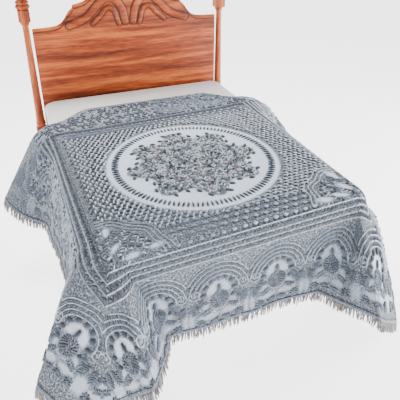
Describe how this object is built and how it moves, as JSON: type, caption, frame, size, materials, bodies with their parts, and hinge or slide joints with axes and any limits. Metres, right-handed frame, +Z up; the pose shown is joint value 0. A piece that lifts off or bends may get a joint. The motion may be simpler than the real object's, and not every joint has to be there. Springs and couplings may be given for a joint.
{
  "type": "chenille bedspread on a bed",
  "caption": "Tufted chenille bedspread with fringed hems, draped over a plain full-size bed with a carved wooden headboard and turned posts.",
  "frame": {"origin": "middle of the bounding box in plan, at the floor under the bed's feet", "axes": "+Z up, +Y from the foot of the bed to the headboard, +X to the bed's right seen from the foot"},
  "size_m": [2.1302, 2.3962, 1.71],
  "materials": {
    "tufted_cotton": "blue-grey tufted cotton chenille",
    "fringe_yarn": "grey cotton yarn",
    "white_sheet": "smooth off-white cotton sheet",
    "box_spring_cloth": "plain woven cotton",
    "stained_wood": "satin orange-brown stain"
  },
  "bodies": {
    "root": {"bedspread": "tufted_cotton", "fringe_left": "fringe_yarn", "fringe_foot": "fringe_yarn", "fringe_right": "fringe_yarn", "mattress": "white_sheet", "box_spring": "box_spring_cloth", "foot_rail": "stained_wood", "headboard_panel": "stained_wood", "headboard_lower_rail": "stained_wood", "slat_1": "stained_wood", "slat_2": "stained_wood", "slat_3": "stained_wood", "side_rail_left": "stained_wood", "side_rail_right": "stained_wood", "foot_leg_left": "stained_wood", "foot_leg_right": "stained_wood", "post_foot_left": "stained_wood", "post_foot_right": "stained_wood", "post_block_left": "stained_wood", "post_block_right": "stained_wood", "post_shaft_left": "stained_wood", "post_shaft_right": "stained_wood", "post_cap_block_left": "stained_wood", "post_cap_block_right": "stained_wood", "post_finial_left": "stained_wood", "post_finial_right": "stained_wood", "scroll_outer_left": "stained_wood", "scroll_outer_right": "stained_wood", "scroll_inner_left": "stained_wood", "scroll_inner_right": "stained_wood"}
  },
  "joints": []
}
